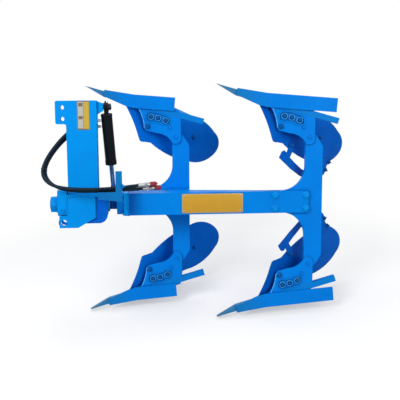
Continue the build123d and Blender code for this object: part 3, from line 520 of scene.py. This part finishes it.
# Places on a body, from its leg's rear edge and as heights from the turnover axis
FROG_TONGUE = ((-98, 332), (-76, 332), (-64, 335), (-56, 344), (-50, 368))
FROG_FRONT = ((-298, 544), (-287, 517), (-276, 484), (-270, 454), (-268, 430), (-248, 423))
FROG_NUTS = ((-229, 495), (-186, 487), (-141, 471))
FROG_EDGE_NUT = (-249, 436)
FROG_SMALL_BOLTS = ((-80, 372), (-116, 429))
LANDSIDE_HEADS = {"front": ((-330, 588), (-210, 578), (-120, 570)),
                  "rear": ((-330, 588), (-200, 576), (-60, 564), (40, 556))}


def four_bodies():
    """Row, leg's rear edge, landside's face and side of the axis, -1 lower or 1 upper, of each body."""
    for row in ("front", "rear"):
        for side in (-1, 1):
            yield row, LEG_X[row], LAND_Y[row], side


# ------------------------------------------------------------------ welds
bm = bmesh.new()
for side in (-1, 1):
    hitch, cheek, mast = side * HITCH_Y, side * CHEEK_Y, side * MAST_Y
    inner, bracket = side * MAST_INNER_Y, side * BRACKET_HALF
    weld_bead(bm, [(BLOCK_REAR, hitch, -58), (BLOCK_REAR, hitch, 47)])
    weld_bead(bm, [(BLOCK_REAR + 2, hitch, CAP_LOW), (HITCH_REAR, hitch, CAP_LOW)], 3.2)
    weld_bead(bm, [(HITCH_REAR + 1, cheek + side, -73), (HITCH_REAR + 1, cheek + side, 46)], 4.5)
    weld_bead(bm, [(HITCH_REAR + 4, cheek, CAP_LOW - 1), (CHEEK_REAR - 1, cheek, CAP_LOW - 1)], 4.0)
    weld_bead(bm, [(MAST_FRONT, mast, CAP_TOP), (MAST_REAR, mast, CAP_TOP)], 4.6)
    weld_bead(bm, [(MAST_REAR, inner, CAP_TOP + 4), (MAST_REAR, inner, MAST_TOP - 3)], 2.6)
    weld_bead(bm, [(MAST_REAR, bracket, BRACKET_LOW + 2), (MAST_REAR, bracket, BRACKET_TOP - 3)], 3.4)
weld_bead(bm, [(BLOCK_REAR, -60, CAP_TOP), (BLOCK_REAR, 60, CAP_TOP)], 4.4)
weld_bead(bm, [(MAST_REAR, -38, CAP_TOP), (MAST_REAR, 38, CAP_TOP)], 4.4)
weld_bead(bm, [(GUIDE_FRONT + 3, -HITCH_Y - 1, CAP_TOP - 1), (CHEEK_REAR - 3, -HITCH_Y - 1, CAP_TOP - 1)],
          3.4)
weld_bead(bm, [(GUIDE_FRONT + 3, GUIDE_Y + GUIDE_T, CAP_TOP), (CHEEK_REAR - 1, GUIDE_Y + GUIDE_T, CAP_TOP)],
          3.4)
finish_mesh("headstock_welds", bm, blue, "headstock")

bm = bmesh.new()
for height in (-BEAM_HALF, BEAM_HALF):
    weld_bead(bm, [(FLANGE_REAR, BEAM_Y + 2, height), (FLANGE_REAR, BEAM_RIGHT - 2, height)], 4.6)
for y in (BEAM_Y, BEAM_RIGHT):
    weld_bead(bm, [(FLANGE_REAR, y, 2 - BEAM_HALF), (FLANGE_REAR, y, BEAM_HALF - 2)], 4.6)
hub_loop = [(FLANGE_FRONT, HUB_R * math.cos(a), HUB_R * math.sin(a))
            for a in (2 * math.pi * i / 24 for i in range(24))]
weld_bead(bm, hub_loop + hub_loop[:1], 4.4)
seam_y = BEAM_RIGHT + 1
for height in (-CARRIER_HALF, CARRIER_HALF):
    weld_bead(bm, [(CARRIER_FRONT + 3, seam_y, height), (CARRIER_REAR - 3, seam_y, height)], 4.0)
for x in (CARRIER_FRONT, CARRIER_REAR):
    weld_bead(bm, [(x, seam_y, 3 - CARRIER_HALF), (x, seam_y, CARRIER_HALF - 3)], 4.0)
for row, x0, y0, side in four_bodies():
    weld_bead(bm, [(x0 + u, y0 + LEG_V, side * h) for u, h in FROG_TONGUE], 3.4)
    weld_bead(bm, [(x0 - LEG_WIDTH, y0 + LEG_V, side * h) for h in (340, 470)], 3.4)
finish_mesh("rotor_welds", bm, blue_bodies_painted_shade, "rotor")

# ------------------------------------------------------------------ rims of the frogs, in lighter enamel: a painted highlight
COLLAR = [(14.0, 0), (14.0, 7.5), (15.2, 9.6), (17.2, 9.6), (18.6, 7.5), (18.6, 0)]
bm = bmesh.new()
for row, x0, y0, side in four_bodies():
    weld_bead(bm, [(x0 + u, y0 + FROG_V + 1, side * h) for u, h in FROG_FRONT], 3.6)
    for u, h in FROG_NUTS:
        lathe(bm, (x0 + u, y0 + FROG_V + 6, side * h), LEFT, COLLAR, sides=32)
finish_mesh("frog_rims", bm, blue_painted_highlight, "rotor")

# ------------------------------------------------------------------ bolts and bushes of the headstock
BUSH = [(18, -1), (31, -1), (31, 9), (29.5, 10.5), (19.5, 10.5), (18, 9), (18, -1)]
bm = bmesh.new()
for side in (-1, 1):
    lathe(bm, (0, side * CHEEK_Y, -AXIS_MM), (0, -side, 0), BUSH, sides=40)
finish_mesh("bore_bushes", bm, blue_cheek_painted_shade, "headstock")

bm = bmesh.new()
for side in (-1, 1):
    hex_head(bm, (-2, side * HITCH_Y, -32), (0, side, 0), 17, 7, turn=0.2, washer=False)
finish_mesh("hitch_bolts", bm, blue_bodies_painted_shade, "headstock")

bm = bmesh.new()
lathe(bm, (SHAFT_FRONT, 0, 0), FORWARDS,
      [(0, 0), (SHAFT_R, 0), (SHAFT_R, 1), (31, 4), (29, 4.4), (26, 3.4), (6, 3.4), (5, 1), (0, 1)], sides=48)
finish_mesh("shaft_end", bm, blue_shaft_painted_shade, "rotor")

bm = bmesh.new()
nut_and_end(bm, (GUIDE_REAR, GUIDE_Y + GUIDE_T / 2, 120), REARWARDS, 17, 9)
hex_head(bm, (230, -150, CAP_TOP), UP, 17, 9)
finish_mesh("guide_bolts", bm, blue, "headstock")

# ------------------------------------------------------------------ bolts of the rotor
bm = bmesh.new()
for x in (1220, 1400):
    for height in (-38, 38):
        hex_head(bm, (x, BEAM_Y, height), LEFT, 24, 11, turn=0.2 + x * 0.01)
        nut_and_end(bm, (x, CLAMP_Y, height), RIGHT, 24, 14, turn=0.5)
for y in (-FLANGE_BOLT, FLANGE_BOLT):
    for height in (-FLANGE_BOLT, FLANGE_BOLT):
        hex_head(bm, (FLANGE_FRONT, y, height), FORWARDS, 17, 9, turn=y * 0.01, washer=False)
finish_mesh("beam_bolts", bm, blue, "rotor")

# plough bolts: nuts in the frog's pocket and behind its edge
bm = bmesh.new()
for row, x0, y0, side in four_bodies():
    for i, (u, h) in enumerate(FROG_NUTS):
        nut_and_end(bm, (x0 + u, y0 + FROG_V + 6, side * h), LEFT, 19, 10, turn=0.4 * i)
    u, h = FROG_EDGE_NUT
    nut_and_end(bm, (x0 + u, y0 + FROG_V, side * h), LEFT, 19, 9, turn=0.1)
finish_mesh("plough_bolts", bm, blue_nut, "rotor")

# small bolts of the frog, and countersunk heads on the landside
LANDSIDE_HEAD = [(0, -1), (11.5, -1), (11.5, 0.4), (10.6, 1.0), (4.2, 0.7), (4.0, -0.6), (0, -0.6)]
bm = bmesh.new()
for row, x0, y0, side in four_bodies():
    for u, h in FROG_SMALL_BOLTS:
        hex_head(bm, (x0 + u, y0 + FROG_V, side * h), LEFT, 16, 7, turn=0.4, washer=False)
    for u, h in LANDSIDE_HEADS[row]:
        lathe(bm, (x0 + u, y0, side * h), LEFT, LANDSIDE_HEAD, sides=24)
finish_mesh("landside_bolts", bm, blue_bodies_painted_shade, "rotor")

# ------------------------------------------------------------------ mouldboard bolts, on the ruled sheet
# guiding arcs of the ruled sheet: centre, radius, and the angles of their ends
SHIN = dict(u=-1432.0, v=0.0, h=0.0, r=1188.0, start=-33.5, end=-4.0)
WING = dict(u=-84.0, v=BOARD_WIDTH, h=-334.0, r=302.0, start=-84.0, end=52.0)


def sheet_point(v, turn, behind=0.0):
    """Point of the lower mouldboard's face at v across the body and a share of the way up its arcs."""
    ends = []
    for arc in (SHIN, WING):
        angle = math.radians(arc["start"] + (arc["end"] - arc["start"]) * turn)
        radius = arc["r"] + behind
        ends.append(Vector((arc["u"] + radius * math.cos(angle), arc["v"],
                            arc["h"] + radius * math.sin(angle))))
    return ends[0].lerp(ends[1], v / BOARD_WIDTH)


def sheet_normal(v, turn):
    """Direction square to the lower mouldboard's face, towards the soil."""
    along = sheet_point(v + 1, turn) - sheet_point(v - 1, turn)
    up = sheet_point(v, turn + 0.01) - sheet_point(v, turn - 0.01)
    normal = along.cross(up).normalized()
    return normal if normal.x < 0 else -normal


def on_board(x0, y0, side, v, turn, behind=0.0):
    """Point and soil-side normal of one body's board; the upper boards mirror the lower ones."""
    point = sheet_point(v, turn, behind) + Vector((x0, y0, 0))
    normal = sheet_normal(v, turn)
    if side > 0:
        point.z, normal.z = -point.z, -normal.z
    return point, normal


BOARD_HEAD = [(0, -1), (11, -1), (11, 0.5), (10.2, 1.0), (3.8, 0.7), (3.6, -0.8), (0, -0.8)]
bm = bmesh.new()
for row, x0, y0, side in four_bodies():
    for v, turn in ((40, 0.22), (100, 0.3), (44, 0.46), (190, 0.42)):
        point, normal = on_board(x0, y0, side, v, turn)
        lathe(bm, point, normal, BOARD_HEAD, sides=24)
finish_mesh("mouldboard_bolts", bm, blue_board_painted_shade, "rotor")

# nuts behind the boards: on each wing, and on the arms of the rear bodies' trash boards
BOARD_NUTS = {"front": [(258, 0.575, BOARD_T)],
              "rear": [(258, 0.575, BOARD_T), (80, 0.615, STRAP_T), (321, 0.80, STRAP_T),
                       (322, 0.875, STRAP_T)]}
bm = bmesh.new()
for row, x0, y0, side in four_bodies():
    for v, turn, behind in BOARD_NUTS[row]:
        point, normal = on_board(x0, y0, side, v, turn, behind)
        nut_and_end(bm, point, -normal, 17, 8, turn=0.3)
finish_mesh("board_nuts", bm, blue_nut, "rotor")

# ------------------------------------------------------------------ blank name plate on the beam
PLATE_FRONT, PLATE_REAR = 678, 1032
PLATE_HALF = 56                 # half of its height
PLATE_CORNER = 9.0              # radius of its rounded corners
PLATE_MARGIN = 6                # from the rim's edge to the gold field
RIVET_IN, RIVET_HEIGHT = 14, 42

corners = []
for x, height, first in ((PLATE_REAR, PLATE_HALF, 0), (PLATE_FRONT, PLATE_HALF, 90),
                         (PLATE_FRONT, -PLATE_HALF, 180), (PLATE_REAR, -PLATE_HALF, 270)):
    centre_x = x - math.copysign(PLATE_CORNER, math.cos(math.radians(first + 45)))
    centre_z = height - math.copysign(PLATE_CORNER, height)
    for step in range(5):
        angle = math.radians(first + 22.5 * step)
        corners.append((centre_x + PLATE_CORNER * math.cos(angle), BEAM_Y,
                        centre_z + PLATE_CORNER * math.sin(angle)))
bm = bmesh.new()
slab(bm, corners, LEFT, 3.2, bevel=1.0)
finish_mesh("name_plate_rim", bm, plate_rim, "rotor")

field_x = (PLATE_FRONT + PLATE_MARGIN, PLATE_REAR - PLATE_MARGIN)
field_z = (-PLATE_HALF + PLATE_MARGIN, PLATE_HALF - PLATE_MARGIN)
bm = bmesh.new()
slab(bm, [(field_x[i], BEAM_Y - 2.8, field_z[j]) for i, j in ((0, 0), (1, 0), (1, 1), (0, 1))],
     LEFT, 1.2, bevel=0.4)
finish_mesh("name_plate", bm, plate_gold, "rotor")

bm = bmesh.new()
for x in (PLATE_FRONT + RIVET_IN, PLATE_REAR - RIVET_IN):
    for height in (-RIVET_HEIGHT, RIVET_HEIGHT):
        lathe(bm, (x, BEAM_Y - 3.9, height), LEFT,
              [(0, 0), (4.2, 0), (4.0, 1.2), (2.4, 2.2), (0, 2.6)], sides=16)
finish_mesh("name_plate_rivets", bm, zinc, "rotor")

# ------------------------------------------------------------------ label on the mast: plain cells
LABEL_FRONT, LABEL_REAR = 90.0, 162.0
LABEL_LOW, LABEL_TOP = 428.0, 590.0
label_middle = (LABEL_FRONT + LABEL_REAR) / 2


def label_cells(name, cells, lift, material):
    """Thin cells, (front, rear, low, top), lifted off the mast's left plate."""
    bm = bmesh.new()
    y = -MAST_Y - lift
    for front, rear, low, top in cells:
        slab(bm, [(front, y, low), (rear, y, low), (rear, y, top), (front, y, top)], LEFT, 0.25)
    finish_mesh(name, bm, material, "headstock")


label_cells("mast_label_edge", [(LABEL_FRONT, LABEL_REAR, LABEL_LOW, LABEL_TOP)], 0.05, label_brown)
label_cells("mast_label_grey", [(LABEL_FRONT + 4, label_middle - 1, LABEL_LOW + 8, LABEL_TOP - 4)],
            0.3, label_grey)
label_cells("mast_label_yellow", [(label_middle + 1, LABEL_REAR - 4, LABEL_LOW + 4, LABEL_TOP - 4)],
            0.3, label_yellow)
label_cells("mast_label_marks", [(LABEL_FRONT + 8, label_middle - 4, 560, 580),
                                 (LABEL_FRONT + 8, label_middle - 4, 488, 506),
                                 (LABEL_FRONT + 8, LABEL_REAR - 10, LABEL_LOW + 2, LABEL_LOW + 6)],
            0.55, label_brown)

# ------------------------------------------------------------------ cylinder
PIN_TOP = Vector((251, 0, 555))
BARREL_TOP, BARREL_LOW = 42, 338        # ends of the barrel, from the top pin
ROD_EYE = Vector((282, 90, 70))
run_down = (ROD_EYE - PIN_TOP).normalized()
cylinder_lean = math.atan2(ROD_EYE.x - PIN_TOP.x, PIN_TOP.z - ROD_EYE.z)
swing_axis = Vector((math.cos(cylinder_lean), 0, math.sin(cylinder_lean)))

bm = bmesh.new()
lathe(bm, PIN_TOP + run_down * BARREL_TOP, run_down,
      [(28, -1.5), (32.6, -1.5), (33.4, 0.5), (33.4, 9), (32.6, 11), (32.2, 12)], sides=48)
lathe(bm, PIN_TOP + run_down * (BARREL_LOW - 26), run_down,
      [(32.2, 0), (33.4, 1.0), (33.4, 24.5), (31.8, 26.6), (19, 26.6), (18, 28.4), (15, 28.4), (14.2, 26)],
      sides=48)
for distance in (76, 111):
    boss = PIN_TOP + run_down * distance + Vector(FORWARDS) * 29
    lathe(bm, boss, FORWARDS, [(0, 0), (10, 0), (10, 3.0), (8.6, 4.2), (0, 4.2)], sides=20)
finish_mesh("cylinder_trim", bm, black, "cylinder_barrel_body")

# the top pin's nut, and the grease nipple on the barrel's eye
bm = bmesh.new()
hex_head(bm, PIN_TOP + swing_axis * 12.4, swing_axis, 34, 15, turn=0.5)
lathe(bm, PIN_TOP - run_down * 21, -run_down,
      [(0, 0), (6.5, 0), (6.5, 5), (4.6, 6.5), (4.6, 9), (5.6, 10.5), (4.0, 14), (0, 15)], sides=18)
finish_mesh("cylinder_top_hardware", bm, black_steel, "cylinder_barrel_body")

bm = bmesh.new()
hex_head(bm, ROD_EYE - swing_axis * 12.2, -swing_axis, 30, 11, turn=0.2)
lathe(bm, ROD_EYE + swing_axis * 11.5, swing_axis,
      [(0, 0), (12, 0), (12, 2.0), (11, 3.2), (0, 3.2)], sides=28)
finish_mesh("rod_pin", bm, black_steel, "cylinder_rod_body")

# ports on the mast's rear face
bm = bmesh.new()
for y, height in ((-13, 480), (13, 445)):
    hex_head(bm, (MAST_REAR, y, height), REARWARDS, 19, 8, turn=0.1, washer=False)
    lathe(bm, (MAST_REAR + 8, y, height), REARWARDS,
          [(0, 0), (7.6, 0), (7.6, 11), (6.2, 12.6), (0, 12.6)], sides=24)
finish_mesh("ports", bm, zinc, "headstock")


# ------------------------------------------------------------------ hoses and their couplers
def hose_curve(name, route):
    """Tube along the smooth curve that the points of a route control."""
    curve = bpy.data.curves.new(name, "CURVE")
    curve.dimensions = "3D"
    spline = curve.splines.new("NURBS")
    spline.points.add(len(route) - 1)
    for point, where in zip(spline.points, route):
        point.co = (*at(*where), 1.0)
    spline.order_u = 3
    spline.use_endpoint_u = True
    spline.resolution_u = 12
    curve.bevel_depth = HOSE_R / 1000
    curve.bevel_resolution = 8
    curve.use_fill_caps = True
    curve.materials.append(rubber)
    piece = bpy.data.objects.new(name, curve)
    bpy.context.scene.collection.objects.link(piece)
    return piece


def ribs(outer, inner, start, count):
    """Profile of ribs 5 mm apart: each rises to outer, and each groove falls to inner."""
    profile = []
    for i in range(count):
        foot = start + i * 5
        profile += [(outer, foot), (inner, foot + 1), (inner, foot + 3), (outer, foot + 4)]
    return profile


def coupler_mesh(name, tip, run):
    """Crimped ferrule, hexagon and sleeve of a quick coupler on a hose's end."""
    bm = bmesh.new()
    ferrule = ([(0, -16), (11.2, -16), (12.2, -14)] + ribs(12.2, 11.4, -11, 4)
               + [(12.2, 12), (9.6, 14), (9.6, 24)])
    lathe(bm, tip, run, ferrule, sides=32)
    lathe(bm, tip + run * 22, run,
          [(0, 0), (12.4, 0), (13.4, 1.2), (13.4, 12.5), (12.2, 14), (0, 14)], sides=6)
    lathe(bm, tip + run * 35, run,
          [(0, 0), (9.5, 0), (9.5, 4), (11.6, 5), (11.6, 20), (10.4, 21.5), (10.4, 25), (0, 25)], sides=32)
    return finish_mesh(f"coupler_{name}_body", bm, zinc, "headstock")


def cap_mesh(name, tip, run):
    """Ribbed red dust cap with a nipple at its end."""
    bm = bmesh.new()
    profile = ([(10.6, 58), (13.4, 58), (13.9, 60)] + ribs(13.9, 13.0, 63, 5)
               + [(13.9, 90), (12.6, 95), (8.5, 97), (7.2, 98), (7.2, 102), (4.5, 104), (0, 104)])
    lathe(bm, tip, run, profile, sides=32)
    return finish_mesh(f"dust_cap_{name}_body", bm, cap_red, "headstock")


for name, route in HOSES.items():
    hose = hose_curve(f"hose_{name}_cover", route)
    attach(hose, "headstock")
    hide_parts(f"hose_{name}")

    tip = Vector(route[-1])
    run = (tip - Vector(route[-2])).normalized()
    coupler = coupler_mesh(name, tip, run)
    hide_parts(f"coupler_{name}")
    cap = cap_mesh(name, tip, run)
    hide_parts(f"dust_cap_{name}")

# hose adaptors behind the mast's front opening
bm = bmesh.new()
for route in HOSES.values():
    start = Vector(route[0])
    back = (start - Vector(route[1])).normalized()
    lathe(bm, start - back * 18, back, [(9.7, 0), (12, 0.5), (12, 16), (11.6, 17), (0, 17)], sides=28)
    lathe(bm, start - back * 1, back, [(0, 0), (12.8, 0), (13.6, 1), (13.6, 9), (12.8, 10), (0, 10)],
          sides=6)
finish_mesh("hose_adaptors", bm, zinc, "headstock")

# ------------------------------------------------------------------ cable tie round both hoses
TIE_NEAR, TIE_FAR = Vector((-110.8, -48.2, 207)), Vector((-98.5, -27.5, 205))   # the hoses' centres
TIE_STEPS = 40
TIE_HALF_WIDTH, TIE_T = 2.6, 1.1
HEAD_HALF, HEAD_T = 4, 6

along_loop = Vector((-0.11, -0.48, -0.87)).normalized()
half_gap = (TIE_FAR - TIE_NEAR).length / 2
up_tie = along_loop.cross((TIE_FAR - TIE_NEAR).normalized()).normalized()
across_tie = up_tie.cross(along_loop).normalized()
centre = (TIE_NEAR + TIE_FAR) / 2

bm = bmesh.new()
rings = []
for i in range(TIE_STEPS):
    angle = 2 * math.pi * (i + 0.5) / TIE_STEPS
    around = across_tie * math.cos(angle) + up_tie * math.sin(angle)
    point = centre + across_tie * math.copysign(half_gap, math.cos(angle)) + around * (HOSE_R + 0.1)
    outward = (point - centre).normalized()
    rings.append([bm.verts.new(point + along_loop * a + outward * b)
                  for a, b in ((-TIE_HALF_WIDTH, 0), (TIE_HALF_WIDTH, 0), (TIE_HALF_WIDTH, TIE_T),
                               (-TIE_HALF_WIDTH, TIE_T))])
for lower, upper in zip(rings, rings[1:] + rings[:1]):
    bridge(bm, lower, upper)
head = centre + up_tie * (HOSE_R - 0.5)
corners = [head + along_loop * a * HEAD_HALF + across_tie * b * HEAD_HALF
           for a, b in ((-1, -1), (1, -1), (1, 1), (-1, 1))]
slab(bm, corners, up_tie, HEAD_T, bevel=0.8)
finish_mesh("cable_tie", bm, black_steel, "headstock")


# ------------------------------------------------------------------ floor and light
def shows_background(tree, path):
    """1 for the camera and for what metal or glass mirrors."""
    total = path.outputs["Is Camera Ray"]
    for kind in ("Is Glossy Ray", "Is Transmission Ray"):
        total = combine(tree, "MAXIMUM", total, path.outputs[kind])
    return total


def choose_shader(tree, factor, first, second, output):
    """Sends a mix of two shaders to a tree's output."""
    choose = add_node(tree, "ShaderNodeMixShader")
    tree.links.new(factor, choose.inputs[0])
    tree.links.new(first.outputs[0], choose.inputs[1])
    tree.links.new(second.outputs[0], choose.inputs[2])
    tree.links.new(choose.outputs[0], tree.nodes[output].inputs["Surface"])


def floor_material():
    """Pale floor that keeps the shadow near the plough and turns white for the camera far from it."""
    material, tree, shader = new_material("pale_floor")
    shader.inputs["Roughness"].default_value = 0.75
    shader.inputs["Specular IOR Level"].default_value = 0.15
    path = add_node(tree, "ShaderNodeLightPath")
    mottle = noise_factor(tree, 3.0, 0.2, 0.8)
    pale = blend_colour(tree, mottle, (0.90, 0.90, 0.90), (0.87, 0.87, 0.875))
    tone = blend_colour(tree, path.outputs["Is Camera Ray"], (0.5, 0.5, 0.5), pale)
    tree.links.new(tone, shader.inputs["Base Color"])

    coords = add_node(tree, "ShaderNodeTexCoord")
    reach = add_node(tree, "ShaderNodeVectorMath", operation="LENGTH")
    tree.links.new(coords.outputs["Object"], reach.inputs[0])
    fade = map_range(tree, reach.outputs["Value"], 1.0, 2.2, curve="SMOOTHSTEP")
    seen = multiply(tree, shows_background(tree, path), fade)
    lifted = combine(tree, "MAXIMUM", seen, multiply(tree, path.outputs["Is Camera Ray"], 0.45))
    glow = add_node(tree, "ShaderNodeEmission")
    glow.inputs["Strength"].default_value = 1.0
    choose_shader(tree, lifted, shader, glow, "Material Output")
    return material


floor_z = min(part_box(n)[0].z for n in nodes)
bm = bmesh.new()
bmesh.ops.create_grid(bm, x_segments=8, y_segments=8, size=30)
mesh = bpy.data.meshes.new("floor")
bm.to_mesh(mesh)
bm.free()
mesh.materials.append(floor_material())
floor = bpy.data.objects.new("floor", mesh)
floor.location = (0.7, 0, floor_z - 0.0005)
bpy.context.scene.collection.objects.link(floor)

world = bpy.data.worlds.new("studio")
bpy.context.scene.world = world
world.use_nodes = True
background = world.node_tree.nodes["Background"]
background.inputs["Color"].default_value = (0.93, 0.96, 1.0, 1.0)
background.inputs["Strength"].default_value = 0.42
white = add_node(world.node_tree, "ShaderNodeBackground")
white.inputs["Color"].default_value = (1.0, 1.0, 1.0, 1.0)
white.inputs["Strength"].default_value = 1.0
path = add_node(world.node_tree, "ShaderNodeLightPath")
choose_shader(world.node_tree, shows_background(world.node_tree, path), background, white, "World Output")

PLOUGH_MIDDLE = Vector((0.65, 0.0, 0.05))


def area_light(name, where, size, power):
    """Round lamp that faces the middle of the plough."""
    light = bpy.data.lights.new(name, "AREA")
    light.shape = "DISK"
    light.size = size
    light.energy = power
    lamp = bpy.data.objects.new(name, light)
    lamp.location = where
    lamp.rotation_euler = (PLOUGH_MIDDLE - Vector(where)).to_track_quat("-Z", "Y").to_euler()
    bpy.context.scene.collection.objects.link(lamp)


area_light("key", (-2.2, -3.4, 3.6), 2.6, 200)
area_light("fill", (3.6, -3.0, 2.0), 3.0, 70)
area_light("top", (0.8, 1.2, 4.2), 3.0, 90)

bpy.context.scene.view_settings.view_transform = "Standard"
